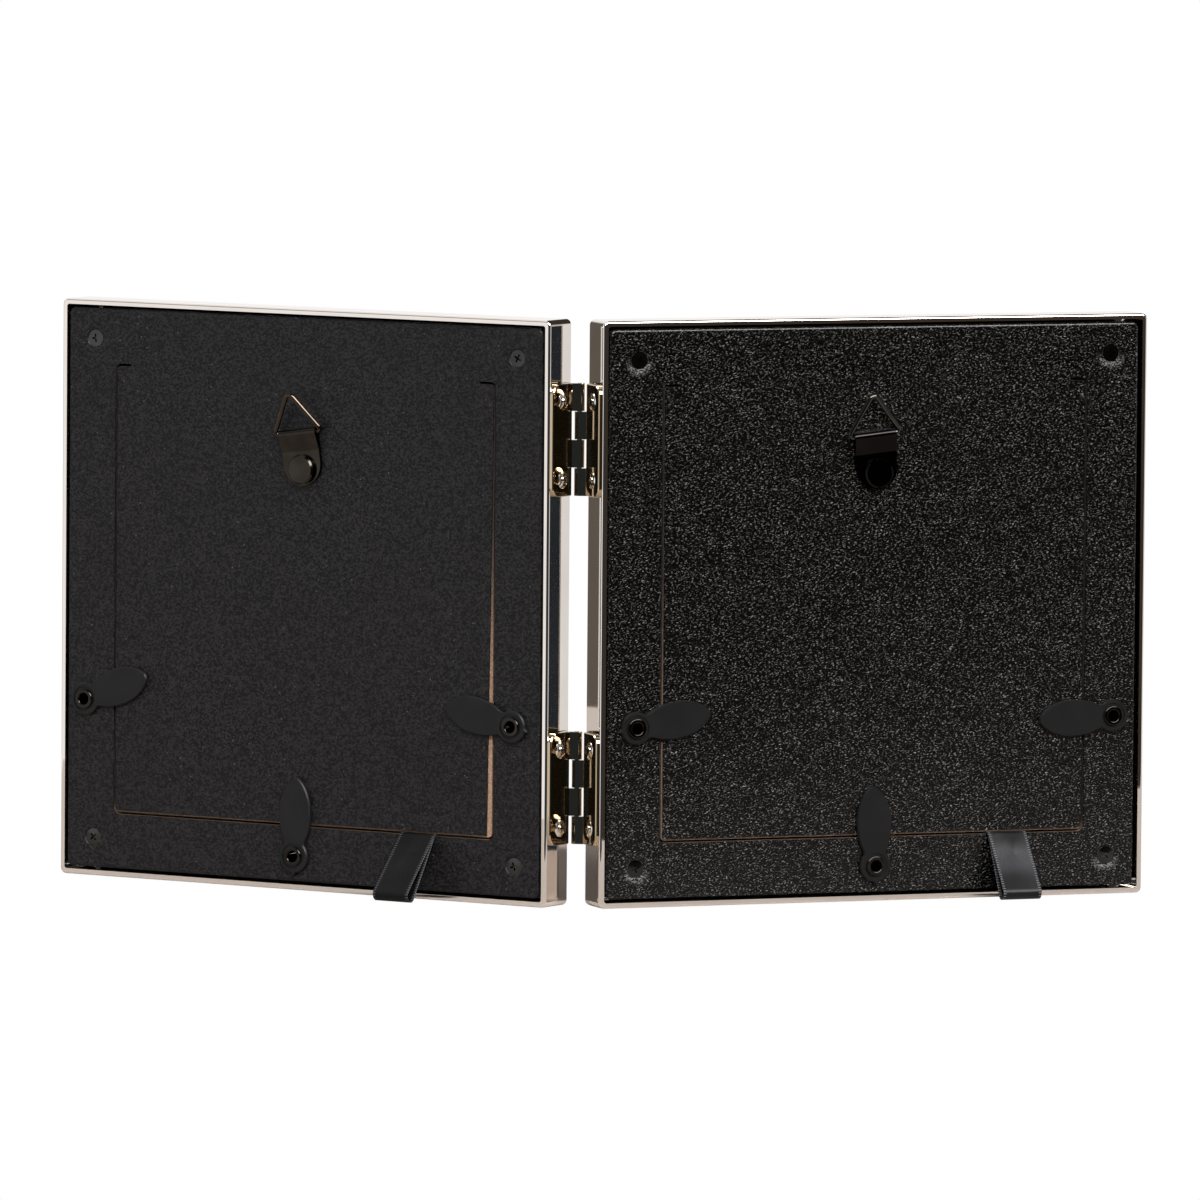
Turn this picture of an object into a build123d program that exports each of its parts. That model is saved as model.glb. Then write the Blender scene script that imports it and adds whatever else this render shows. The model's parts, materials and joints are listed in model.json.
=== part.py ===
from build123d import *
from math import acos, atan2, cos, degrees, hypot, radians, sin, tan
import os

os.makedirs("parts", exist_ok=True)

# A hinged pair of square photo frames that stand open like a book. The part's own frame has Z up,
# the floor at zero, the backs of the leaves towards -Y and the hinge pins on the plane X = 0, with
# the middle of the whole pair at X = Y = 0. Left and right are those of someone behind the pair.
# A place on a leaf is given across (from its hinge side outward), up (from its base) and deep
# (from its front face towards its back). All lengths are in millimetres.

# Leaves: each is as large as its glass and the border round it
glass_width = 127.0
glass_height = 127.0
border_width = 25.5
leaf_depth = 12.5
leaf_corner_radius = 1.8
rim_wall = 1.65
rim_inner_radius = 0.8
rim_edge_radius = 0.75
front_edge_radius = 0.8
front_thickness = 1.6
window_lap = 3.0
window_bevel = 0.8
fronts_angle = 126.9
cut_overrun = 1.0

# Picture stack, from the front: glass, card and backing pad inside a low wall
glass_thickness = 2.0
glass_clearance = 0.5
card_thickness = 0.4
card_margin = 0.25
pad_margin = 0.5
stack_wall_thickness = 1.5
stack_wall_height = 4.4

# Back panel: a board covered with leatherette that is turned over its edges
rim_stand = 0.5
panel_gap = 0.9
left_panel_shift = 0.4
right_panel_shift = -0.15
board_thickness = 3.0
board_corner_radius = 1.5
board_edge_radius = 0.6
cover_thickness = 0.5
cover_edge_radius = 0.9
cover_turn_down = 2.5

# Flap: the square door in the panel, hinged by the uncut leatherette along its top
door_margin = 5.7
door_corner_radius = 1.6
door_gap = 0.75
door_stub_length = 5.5
cover_short_bottom = 0.45
cover_short_side = 0.1
left_cover_wedge = 1.5
right_cover_wedge = 0.3
right_overcut_length = 2.6
overcut_width = 0.25

# Corner screws and the bosses that take them
corner_screw_inset = 11.9
corner_screw_head_radius = 2.6
corner_screw_head_height = 1.6
corner_screw_dome = 0.12
corner_screw_shank_radius = 1.25
corner_screw_length = 7.25
corner_screw_sunk = 0.25
corner_screw_cross_length = 2.6
corner_screw_cross_width = 0.55
corner_screw_cross_depth = 0.9
corner_screw_turns = (18.0, 40.0, 62.0, 5.0)
screw_clearance = 0.05
screw_dimple = 0.35
boss_radius = 4.2
boss_hole_depth = 4.5

# Turn buttons and their eyelets. An offset is outward or up from the middle of the strip between
# the rim and the flap, or outward from the middle of the leaf, and a height is above the lower cut
button_length = 24.2
button_half_width = 5.6
button_tail_radius = 5.0
button_thickness = 1.2
button_edge_bevel = 0.35
button_lift = 0.25
button_neck_fillet = 1.6
button_neck_slope = 0.2
button_nib_length = 1.2
button_nib_half_width = 1.1
button_dish_radius = 3.9
button_dish_depth = 0.3
eyelet_bore_radius = 1.75
eyelet_shank_radius = 2.2
eyelet_flange_radius = 3.05
eyelet_flange_height = 0.75
eyelet_lift = 0.1
eyelet_clearance = 0.05
eyelet_flare_radius = 3.0
eyelet_flare_height = 0.4
left_outer_button_offset = 1.8
left_outer_button_height = 34.8
left_outer_button_angle = 19.4
left_inner_button_offset = 1.3
left_inner_button_height = 34.6
left_inner_button_angle = 12.2
left_bottom_button_offset = 2.1
left_bottom_button_drop = 0.8
left_bottom_button_angle = 1.5
right_outer_button_offset = 0.7
right_outer_button_height = 35.0
right_outer_button_angle = -2.0
right_inner_button_offset = 0.4
right_inner_button_height = 34.8
right_inner_button_angle = 10.0
right_bottom_button_offset = 0.7
right_bottom_button_drop = 0.4
right_bottom_button_angle = 2.1

# The blade's outline from neck to tip: shares of its length and of its half width
button_outline_shares = [
    (0.11, 0.54),
    (0.165, 0.62),
    (0.25, 0.78),
    (0.4, 0.955),
    (0.56, 1.0),
    (0.72, 0.92),
    (0.86, 0.675),
    (0.95, 0.39),
    (0.987, 0.2),
]

# Hangers: a strap folded round the base of a wire ring and riveted to the flap, the rivet at an
# offset outward from the middle of the leaf and a drop below the flap's top
left_hanger_offset = -0.4
left_hanger_drop = 29.1
left_hanger_angle = 7.6
left_strap_length = 11.1
left_ring_angle = 15.0
right_hanger_offset = 0.2
right_hanger_drop = 27.5
right_hanger_angle = 6.0
right_strap_length = 11.6
right_ring_angle = 10.0
strap_width = 13.4
strap_sheet = 0.6
strap_end_rise = 1.8
strap_lift = 0.1
strap_slope_angle = 15.7
ring_wire_radius = 0.7
ring_clearance = 0.05
ring_side_clearance = 0.07
ring_corner_radius = 1.1
ring_apex_radius = 1.6
ring_height = 13.6
rivet_head_radius = 4.55
rivet_head_height = 1.6
rivet_head_bevel = 0.5
rivet_shank_radius = 1.6
rivet_clearance = 0.05
rivet_tail_radius = 3.0
rivet_tail_height = 0.6

# Ribbon pulls: a doubled ribbon, glued inside the flap and hanging out of its lower cut, its
# middle inward from the flap's hinge side on the left leaf and from its outer side on the right
ribbon_width = 12.5
ribbon_thickness = 0.28
ribbon_layer_gap = 0.05
ribbon_tab_clearance = 1.5
ribbon_tab_radius = 0.2
ribbon_exit = 0.7
ribbon_exit_radius = 1.1
ribbon_fold_radius = 2.85
ribbon_floor_gap = 0.35
fold_radius_share = 0.97
left_ribbon_inset = 26.2
left_ribbon_reach = 13.5
right_ribbon_inset = 25.2
right_ribbon_reach = 11.5

# Hinges
pin_to_leaf = 2.45
pin_ahead = 0.8
pin_radius = 0.8
pin_fixed_clearance = 0.02
pin_running_clearance = 0.05
pin_end_inset = 0.2
hinge_length = 34.1
upper_hinge_drop = 36.45
lower_hinge_height = 35.8
knuckle_count = 4
knuckle_radius = 1.56
knuckle_gap = 0.2
knuckle_neck = 1.5
plate_thickness = 1.2
plate_back = 12.1
plate_cut_back = 1.65
plate_corner_radius = 3.4
plate_edge_bevel = 0.3
hinge_screw_pitch = 23.8
hinge_screw_deep = 6.7
hinge_screw_head_radius = 2.6
hinge_screw_head_height = 1.1
hinge_screw_dome = 0.75
hinge_screw_shank_radius = 1.1
hinge_screw_length = 5.0
hinge_screw_cross_length = 2.7
hinge_screw_cross_width = 0.6
hinge_screw_cross_depth = 1.35

# Depths of the stack, worked out from both faces of the leaf
card_front = front_thickness + glass_thickness
pad_front = card_front + card_thickness
cover_back = leaf_depth - rim_stand
board_back = cover_back - cover_thickness
board_front = board_back - board_thickness

# Outlines of the leaf, its window, the panel and the flap
leaf_width = glass_width + 2 * border_width
leaf_height = glass_height + 2 * border_width
window_width = glass_width - 2 * window_lap
window_height = glass_height - 2 * window_lap
door_inset = border_width - door_margin
strip_middle = (rim_wall + panel_gap + door_inset) / 2
cover_width = leaf_width - 2 * (rim_wall + panel_gap)
cover_height = leaf_height - 2 * (rim_wall + panel_gap)
board_width = cover_width - 2 * cover_thickness
board_height = cover_height - 2 * cover_thickness
door_width = leaf_width - 2 * door_inset
door_height = leaf_height - 2 * door_inset
screw_grid_width = leaf_width - 2 * corner_screw_inset
screw_grid_height = leaf_height - 2 * corner_screw_inset

# The hinge axis stands behind the middle of the pair, so that the origin is at the middle
turn = radians((180 - fronts_angle) / 2)
far_corner_across = pin_to_leaf + leaf_width - front_edge_radius
front_reach = far_corner_across * sin(turn) - (pin_ahead + front_edge_radius) * cos(turn) + front_edge_radius
plate_corner_across = pin_to_leaf - plate_thickness + plate_edge_bevel
back_reach = (pin_ahead + plate_back) * cos(turn) - plate_corner_across * sin(turn)
hinge_y = (back_reach - front_reach) / 2

# The roll of a strap round the ring's wire, which lies at this height above the leatherette
roll_inner_radius = ring_wire_radius + ring_clearance
roll_outer_radius = roll_inner_radius + strap_sheet
roll_height = strap_lift + roll_outer_radius
slope = radians(strap_slope_angle)


class Leaf:
    """One frame of the pair: side is -1 for the left leaf and +1 for the right one."""

    def __init__(self, name, side):
        self.name = name
        self.side = side
        self.along = Vector(side * cos(turn), sin(turn), 0)
        self.back = Vector(side * sin(turn), -cos(turn), 0)
        self.axis = Axis((0, hinge_y, 0), self.back)

    def point(self, across, up, deep):
        """A point of the leaf, across from its side face, up from its base, deep from its front."""
        on_axis = Vector(0, hinge_y, up)
        return on_axis + self.along * (pin_to_leaf + across) + self.back * (pin_ahead + deep)

    def face(self, deep):
        """The plane across the leaf at a depth, seen from behind, with its origin in the middle."""
        middle = self.point(leaf_width / 2, leaf_height / 2, deep)
        return Plane(origin=middle, x_dir=self.along * self.side, z_dir=self.back)

    def place(self, across, up):
        """Where a spot of the leaf lies on its face planes."""
        return (self.side * (across - leaf_width / 2), up - leaf_height / 2)

    def spot(self, across, up, deep, angle=0.0):
        """A plane on the leaf's back at a spot, turned counterclockwise as seen from behind."""
        face = self.face(deep)
        turned = face.x_dir * cos(radians(angle)) + face.y_dir * sin(radians(angle))
        return Plane(origin=self.point(across, up, deep), x_dir=turned, z_dir=self.back)

    def section(self, across):
        """An upright plane through the leaf: its x is the depth and its y the height."""
        return Plane(origin=self.point(across, 0, 0), x_dir=self.back, z_dir=self.along * -self.side)

    def plan(self, height):
        """A level plane with its origin on the hinge axis and its x along the leaf."""
        return Plane(origin=(0, hinge_y, height), x_dir=self.along, z_dir=(0, 0, 1))

    def in_plan(self, across, deep):
        """Where a point of the leaf lies on its plan planes."""
        return (pin_to_leaf + across, -self.side * (pin_ahead + deep))


left = Leaf("left", -1)
left.panel_shift = left_panel_shift
left.cover_wedge = left_cover_wedge
left.hanger = (
    leaf_width / 2 + left_hanger_offset,
    leaf_height - door_inset - left_hanger_drop,
    left_hanger_angle,
)
left.strap_length = left_strap_length
left.ring_angle = left_ring_angle
left.ribbon = (door_inset + left_ribbon_inset, left_ribbon_reach)
left.buttons = {
    "outer": (
        leaf_width - strip_middle + left_outer_button_offset,
        door_inset + left_outer_button_height,
        left_outer_button_angle,
    ),
    "inner": (
        strip_middle + left_inner_button_offset,
        door_inset + left_inner_button_height,
        180 - left_inner_button_angle,
    ),
    "bottom": (
        leaf_width / 2 + left_bottom_button_offset,
        strip_middle - left_bottom_button_drop,
        90 - left_bottom_button_angle,
    ),
}

right = Leaf("right", 1)
right.panel_shift = right_panel_shift
right.cover_wedge = right_cover_wedge
right.hanger = (
    leaf_width / 2 + right_hanger_offset,
    leaf_height - door_inset - right_hanger_drop,
    right_hanger_angle,
)
right.strap_length = right_strap_length
right.ring_angle = right_ring_angle
right.ribbon = (leaf_width - door_inset - right_ribbon_inset, right_ribbon_reach)
right.buttons = {
    "outer": (
        leaf_width - strip_middle + right_outer_button_offset,
        door_inset + right_outer_button_height,
        180 - right_outer_button_angle,
    ),
    "inner": (
        strip_middle + right_inner_button_offset,
        door_inset + right_inner_button_height,
        right_inner_button_angle,
    ),
    "bottom": (
        leaf_width / 2 + right_bottom_button_offset,
        strip_middle - right_bottom_button_drop,
        90 + right_bottom_button_angle,
    ),
}

hinges = {"upper": leaf_height - upper_hinge_drop, "lower": lower_hinge_height}


def finish(part, name):
    """Label a finished piece and write it to its file."""
    part.label = name
    export_step(part, f"parts/{name}.step")


def upright(plane):
    """The plane that stands on another: same origin and x, its y along the other's normal."""
    return Plane(origin=plane.origin, x_dir=plane.x_dir, z_dir=-plane.y_dir)


def add_slab(plane, width, height, thickness):
    """A plain rectangular sheet, added to the part that is being built."""
    with BuildSketch(plane) as outline:
        Rectangle(width, height)
    extrude(outline.sketch, amount=thickness)


def add_screw(plane, head_radius, head_height, dome, shank_radius, length, cross, cross_angle=0.0):
    """A countersunk cross-head screw whose head's rim lies in the plane."""
    cross_length, cross_width, cross_depth = cross
    dome_radius = (head_radius**2 + dome**2) / (2 * dome)
    with BuildSketch(upright(plane)) as profile:
        with BuildLine():
            top = RadiusArc((0, dome), (head_radius, 0), dome_radius)
            Polyline(
                top @ 1,
                (shank_radius, -head_height),
                (shank_radius, -length),
                (0, -length),
                top @ 0,
            )
        make_face()
    revolve(profile.sketch, axis=Axis(plane.origin, plane.z_dir))
    with BuildSketch(plane.offset(dome - cross_depth)) as recess:
        Rectangle(cross_length, cross_width, rotation=cross_angle)
        Rectangle(cross_width, cross_length, rotation=cross_angle)
    extrude(recess.sketch, amount=cross_depth + cut_overrun, mode=Mode.SUBTRACT)


def make_frame(leaf):
    """Moulding: a metal tray with a window in its front, a wall round the stack and four bosses."""
    with BuildPart(leaf.face(board_front)) as frame:
        with BuildSketch(leaf.face(0)):
            RectangleRounded(leaf_width, leaf_height, leaf_corner_radius)
        extrude(amount=leaf_depth)
        fillet(frame.faces().sort_by(leaf.axis)[-1].edges(), rim_edge_radius)
        fillet(frame.faces().sort_by(leaf.axis)[0].edges(), front_edge_radius)
        with BuildSketch(leaf.face(front_thickness)):
            RectangleRounded(leaf_width - 2 * rim_wall, leaf_height - 2 * rim_wall, rim_inner_radius)
        extrude(amount=leaf_depth, mode=Mode.SUBTRACT)
        with BuildSketch(leaf.face(0)):
            Rectangle(window_width, window_height)
        extrude(amount=front_thickness, mode=Mode.SUBTRACT)
        chamfer(frame.faces().sort_by(leaf.axis)[0].inner_wires().edges(), window_bevel)
        pocket_width = glass_width + 2 * glass_clearance
        pocket_height = glass_height + 2 * glass_clearance
        with BuildSketch(leaf.face(front_thickness)):
            Rectangle(pocket_width + 2 * stack_wall_thickness, pocket_height + 2 * stack_wall_thickness)
            Rectangle(pocket_width, pocket_height, mode=Mode.SUBTRACT)
        extrude(amount=stack_wall_height)
        with BuildSketch(leaf.face(front_thickness)):
            with GridLocations(screw_grid_width, screw_grid_height, 2, 2):
                Circle(boss_radius)
        extrude(amount=board_front - front_thickness)
        with GridLocations(screw_grid_width, screw_grid_height, 2, 2):
            Hole(corner_screw_shank_radius + screw_clearance, depth=boss_hole_depth)
        with BuildSketch(leaf.section(0)):
            for height in hinges.values():
                with Locations((hinge_screw_deep, height)):
                    with GridLocations(0, hinge_screw_pitch, 1, 2):
                        Circle(hinge_screw_shank_radius + screw_clearance)
        extrude(amount=rim_wall + cut_overrun, both=True, mode=Mode.SUBTRACT)
    finish(frame.part, f"{leaf.name}_frame")


def make_stack(leaf):
    """Glass, blank picture card and backing pad, each a flat sheet inside the frame's wall."""
    with BuildPart() as glass:
        add_slab(leaf.face(front_thickness), glass_width, glass_height, glass_thickness)
    finish(glass.part, f"{leaf.name}_glass")
    card_width = glass_width - 2 * card_margin
    card_height = glass_height - 2 * card_margin
    with BuildPart() as card:
        add_slab(leaf.face(card_front), card_width, card_height, card_thickness)
    finish(card.part, f"{leaf.name}_photo_card")
    pad_width = glass_width - 2 * pad_margin
    pad_height = glass_height - 2 * pad_margin
    with BuildPart() as pad:
        add_slab(leaf.face(pad_front), pad_width, pad_height, board_front - pad_front)
    finish(pad.part, f"{leaf.name}_backing_pad")


def eyelet_places(leaf):
    """Where the eyelets of a leaf's turn buttons lie on its face planes."""
    return [leaf.place(across, up) for across, up, angle in leaf.buttons.values()]


def make_back_board(leaf):
    """The panel's board with the square opening, its screw seats and its eyelet holes."""
    seat_angle = 2 * degrees(
        atan2(corner_screw_head_radius - corner_screw_shank_radius, corner_screw_head_height)
    )
    with BuildPart(leaf.face(cover_back - corner_screw_sunk)) as board:
        with BuildSketch(leaf.face(board_front)):
            with Locations((leaf.side * leaf.panel_shift, 0)):
                RectangleRounded(board_width, board_height, board_corner_radius)
        extrude(amount=board_thickness)
        fillet(board.faces().sort_by(leaf.axis)[-1].edges(), board_edge_radius)
        with BuildSketch(leaf.face(board_front)):
            RectangleRounded(
                door_width + door_gap, door_height + door_gap, door_corner_radius + door_gap / 2
            )
            with Locations(*eyelet_places(leaf)):
                Circle(eyelet_shank_radius + eyelet_clearance)
        extrude(amount=board_thickness, mode=Mode.SUBTRACT)
        with GridLocations(screw_grid_width, screw_grid_height, 2, 2):
            CounterSinkHole(
                corner_screw_shank_radius + screw_clearance,
                corner_screw_head_radius + screw_clearance,
                counter_sink_angle=seat_angle,
            )
    finish(board.part, f"{leaf.name}_back_board")


def make_door_board(leaf):
    """The flap's board, with the seat of the hanger rivet in its inner face."""
    across, up, angle = leaf.hanger
    with BuildPart() as door:
        with BuildSketch(leaf.face(board_front)):
            RectangleRounded(
                door_width - door_gap, door_height - door_gap, door_corner_radius - door_gap / 2
            )
        extrude(amount=board_thickness)
        with BuildSketch(leaf.spot(across, up, board_front)):
            Circle(rivet_shank_radius + rivet_clearance)
        extrude(amount=board_thickness, mode=Mode.SUBTRACT)
        with BuildSketch(leaf.spot(across, up, board_front)):
            Circle(rivet_tail_radius + rivet_clearance)
        extrude(amount=rivet_tail_height + rivet_clearance, mode=Mode.SUBTRACT)
    finish(door.part, f"{leaf.name}_door_board")


def draw_flap_cover(leaf):
    """The leatherette of the flap, cut a little short, and the uncut bridge along its top."""
    flap_width = door_width - door_gap - 2 * cover_short_side
    flap_height = door_height - door_gap - cover_short_bottom
    with Locations((0, cover_short_bottom / 2)):
        RectangleRounded(flap_width, flap_height, door_corner_radius - door_gap / 2)
    edge = -leaf.side * flap_width / 2
    top = (flap_height + cover_short_bottom) / 2 - door_corner_radius
    bottom = -(flap_height - cover_short_bottom) / 2
    slip = leaf.side * leaf.cover_wedge
    with BuildLine() as wedge:
        Polyline((edge, top), (edge + slip, bottom), (edge, bottom), (edge, top))
    make_face(wedge.edges(), mode=Mode.SUBTRACT)
    with Locations((0, door_height / 2)):
        Rectangle(door_width - 2 * door_stub_length, 2 * door_gap)


def draw_overcut(leaf):
    """The knife's slip past the flap's upper corner, on the side of the hinges."""
    length = right_overcut_length + door_corner_radius
    corner = (door_width + right_overcut_length - door_corner_radius) / 2
    with Locations((-leaf.side * corner, door_height / 2)):
        Rectangle(length, overcut_width, mode=Mode.SUBTRACT)


def make_cover(leaf):
    """Leatherette: one skin over both boards, turned over the panel's edges."""
    shift = (leaf.side * leaf.panel_shift, 0)
    across, up, angle = leaf.hanger
    with BuildPart() as cover:
        with BuildSketch(leaf.face(board_back)):
            with Locations(shift):
                RectangleRounded(cover_width, cover_height, board_corner_radius + cover_thickness)
            RectangleRounded(
                door_width + door_gap,
                door_height + door_gap,
                door_corner_radius + door_gap / 2,
                mode=Mode.SUBTRACT,
            )
            draw_flap_cover(leaf)
            if leaf is right:
                draw_overcut(leaf)
            with Locations(*eyelet_places(leaf)):
                Circle(eyelet_shank_radius + eyelet_clearance, mode=Mode.SUBTRACT)
            with Locations(leaf.place(across, up)):
                Circle(rivet_shank_radius + rivet_clearance, mode=Mode.SUBTRACT)
        extrude(amount=cover_thickness)
        with BuildSketch(leaf.face(board_back)):
            with Locations(shift):
                RectangleRounded(cover_width, cover_height, board_corner_radius + cover_thickness)
                RectangleRounded(board_width, board_height, board_corner_radius, mode=Mode.SUBTRACT)
        extrude(amount=-cover_turn_down)
        outer_face = cover.faces().filter_by(leaf.axis).sort_by(leaf.axis)[-1]
        fillet(outer_face.outer_wire().edges(), cover_edge_radius)
        with BuildSketch(leaf.face(board_back)):
            with GridLocations(screw_grid_width, screw_grid_height, 2, 2):
                Circle(corner_screw_head_radius + screw_clearance)
        extrude(amount=cover_thickness, mode=Mode.SUBTRACT)
        rims = cover.faces().filter_by(leaf.axis).sort_by(leaf.axis)[-1].edges()
        rims = rims.filter_by(GeomType.CIRCLE).filter_by(lambda edge: edge.is_closed)
        chamfer(rims.group_by(SortBy.RADIUS)[-1], screw_dimple)
    finish(cover.part, f"{leaf.name}_back_cover")


def make_corner_screws(leaf):
    """Four cross-head screws that hold the panel to the frame's bosses."""
    cross = (corner_screw_cross_length, corner_screw_cross_width, corner_screw_cross_depth)
    far = leaf_width - corner_screw_inset
    high = leaf_height - corner_screw_inset
    spots = [
        (corner_screw_inset, corner_screw_inset),
        (far, corner_screw_inset),
        (corner_screw_inset, high),
        (far, high),
    ]
    with BuildPart() as screws:
        for (across, up), cross_angle in zip(spots, corner_screw_turns):
            add_screw(
                leaf.spot(across, up, cover_back - corner_screw_sunk),
                corner_screw_head_radius,
                corner_screw_head_height,
                corner_screw_dome,
                corner_screw_shank_radius,
                corner_screw_length,
                cross,
                cross_angle,
            )
    finish(screws.part, f"{leaf.name}_corner_screws")


def make_ribbon(leaf):
    """Ribbon pull: both ends glued inside the flap, out through its lower cut and round a loose fold."""
    across, reach = leaf.ribbon
    layer = (ribbon_thickness + ribbon_layer_gap) / 2
    cut = door_inset
    glued = board_front - layer
    exit_deep = cover_back + ribbon_exit
    fold_deep = leaf_depth + reach
    fold_high = ribbon_floor_gap + ribbon_thickness / 2 + ribbon_fold_radius
    run, drop = fold_deep - exit_deep, cut - fold_high
    distance = hypot(run, drop)
    ahead = Vector(run, -drop) / distance
    aside = Vector(drop, run) / distance
    end = distance + ribbon_fold_radius
    spread = end * tan(atan2(ribbon_fold_radius, (distance**2 - ribbon_fold_radius**2) ** 0.5))
    tip = Vector(exit_deep, cut) + ahead * end
    near, far = tip - aside * spread, tip + aside * spread
    fold = ribbon_fold_radius * fold_radius_share
    tab_top = border_width + pad_margin - ribbon_tab_clearance
    with BuildPart() as ribbon:
        with BuildSketch(leaf.section(across)):
            with BuildLine():
                FilletPolyline(
                    (glued, tab_top),
                    (glued, cut + layer),
                    (exit_deep, cut + layer),
                    (far.X, far.Y),
                    (near.X, near.Y),
                    (exit_deep, cut - layer),
                    (glued - 2 * layer, cut - layer),
                    (glued - 2 * layer, tab_top),
                    radius=[
                        ribbon_tab_radius,
                        ribbon_exit_radius,
                        fold,
                        fold,
                        ribbon_exit_radius,
                        ribbon_tab_radius,
                    ],
                )
            trace(line_width=ribbon_thickness)
        extrude(amount=ribbon_width / 2, both=True)
    finish(ribbon.part, f"{leaf.name}_ribbon_pull")


def make_button(leaf, name):
    """Turn button: a leaf-shaped blade with a round tail, a nib, a hole and a dish round the hole."""
    across, up, angle = leaf.buttons[name]
    under = leaf.spot(across, up, cover_back + button_lift, angle)
    side_points = [
        (length_share * button_length, width_share * button_half_width)
        for length_share, width_share in button_outline_shares
    ]
    start, start_width = side_points[0]
    with BuildPart(under) as button:
        with BuildSketch(under) as outline:
            with BuildLine():
                blade_ends = [(1, button_neck_slope), (0, -1)]
                edge = Spline(*side_points, (button_length, 0), tangents=blade_ends)
                mirror(edge, about=Plane.XZ)
                Line((start, start_width), (start, -start_width))
            make_face()
            Circle(button_tail_radius)
            fillet(outline.vertices().sort_by(Axis.X)[:2], button_neck_fillet)
            nib_foot = button_tail_radius - button_nib_length / 2
            Polygon(
                (-button_tail_radius - button_nib_length, 0),
                (-nib_foot, -button_nib_half_width),
                (-nib_foot, button_nib_half_width),
                align=None,
            )
        extrude(amount=button_thickness)
        rim = button.faces().sort_by(leaf.axis)[-1].edges()
        chamfer(rim, button_edge_bevel)
        with BuildSketch(under.offset(button_thickness - button_dish_depth)):
            Circle(button_dish_radius)
        extrude(amount=button_dish_depth, mode=Mode.SUBTRACT)
        with BuildSketch(under):
            Circle(eyelet_shank_radius + eyelet_clearance)
        extrude(amount=button_thickness, mode=Mode.SUBTRACT)
    finish(button.part, f"{leaf.name}_{name}_button")


def make_eyelets(leaf):
    """Three hollow rivets: a shank through the board, a flare inside and a rolled flange outside."""
    shank_foot = board_front - cover_back - eyelet_flare_height
    flange_foot = button_lift + button_thickness - button_dish_depth + eyelet_lift
    flange_middle = flange_foot + eyelet_flange_height / 2
    with BuildPart() as eyelets:
        for across, up, angle in leaf.buttons.values():
            spot = leaf.spot(across, up, cover_back)
            with BuildSketch(upright(spot)):
                with Locations((eyelet_bore_radius, shank_foot)):
                    Rectangle(
                        eyelet_shank_radius - eyelet_bore_radius,
                        flange_middle - shank_foot,
                        align=Align.MIN,
                    )
                    Rectangle(
                        eyelet_flare_radius - eyelet_bore_radius, eyelet_flare_height, align=Align.MIN
                    )
                with Locations(((eyelet_bore_radius + eyelet_flange_radius) / 2, flange_middle)):
                    SlotOverall(eyelet_flange_radius - eyelet_bore_radius, eyelet_flange_height)
            revolve(axis=Axis(spot.origin, spot.z_dir))
    finish(eyelets.part, f"{leaf.name}_button_eyelets")


def make_hanger_rivet(leaf):
    """Rivet with a flat head over the strap and a tail set flush into the flap's inner face."""
    across, up, angle = leaf.hanger
    head_foot = cover_back + strap_lift + 2 * strap_sheet + rivet_clearance
    with BuildPart() as rivet:
        with BuildSketch(leaf.spot(across, up, board_front)):
            Circle(rivet_shank_radius)
        extrude(amount=head_foot - board_front)
        with BuildSketch(leaf.spot(across, up, board_front)):
            Circle(rivet_tail_radius)
        extrude(amount=rivet_tail_height)
        with BuildSketch(leaf.spot(across, up, head_foot)):
            Circle(rivet_head_radius)
        extrude(amount=rivet_head_height)
        chamfer(rivet.faces().sort_by(leaf.axis)[-1].edges(), rivet_head_bevel)
    finish(rivet.part, f"{leaf.name}_hanger_rivet")


def roll_crest(length, radius):
    """Where the strap's slope leaves a circle of a radius round the ring's wire."""
    return (length - radius * sin(slope), roll_height + radius * cos(slope))


def draw_roll(length, radius):
    """The strap's bend round the wire, from its flat leg to the crest of its slope."""
    level = roll_height - radius
    return ThreePointArc((length, level), (length + radius, roll_height), roll_crest(length, radius))


def slope_foot(length, radius, level):
    """Where the slope that starts on that circle comes down to a level."""
    crest = roll_crest(length, radius)
    return (crest[0] - (crest[1] - level) / tan(slope), level)


def make_hanger_strap(leaf):
    """Strap: a strip folded over the ring's base, its legs and round end under the rivet's head."""
    across, up, angle = leaf.hanger
    flat = leaf.spot(across, up, cover_back, angle)
    side_view = Plane(origin=flat.origin, x_dir=flat.y_dir, z_dir=flat.x_dir)
    length = leaf.strap_length
    end_radius = strap_width / 2
    middle_level = strap_lift + strap_sheet
    top_level = strap_lift + 2 * strap_sheet
    with BuildPart() as strap:
        with BuildSketch(side_view):
            with BuildLine():
                bend = draw_roll(length, roll_outer_radius)
                Polyline(
                    bend @ 1,
                    slope_foot(length, roll_outer_radius, top_level),
                    (-end_radius, top_level),
                    (-end_radius, strap_lift),
                    bend @ 0,
                )
            make_face()
            with BuildLine():
                bend = draw_roll(length, roll_inner_radius)
                Polyline(bend @ 1, slope_foot(length, roll_inner_radius, middle_level), bend @ 0)
            make_face(mode=Mode.SUBTRACT)
        extrude(amount=end_radius, both=True)
        with BuildSketch(flat):
            with Locations((0, strap_end_rise)):
                Circle(end_radius)
                Rectangle(strap_width, length + roll_outer_radius, align=(Align.CENTER, Align.MIN))
        extrude(amount=roll_height + roll_outer_radius, mode=Mode.INTERSECT)
        with BuildSketch(flat):
            Circle(rivet_shank_radius + rivet_clearance)
        extrude(amount=roll_height, mode=Mode.SUBTRACT)
    finish(strap.part, f"{leaf.name}_hanger_strap")


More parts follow.
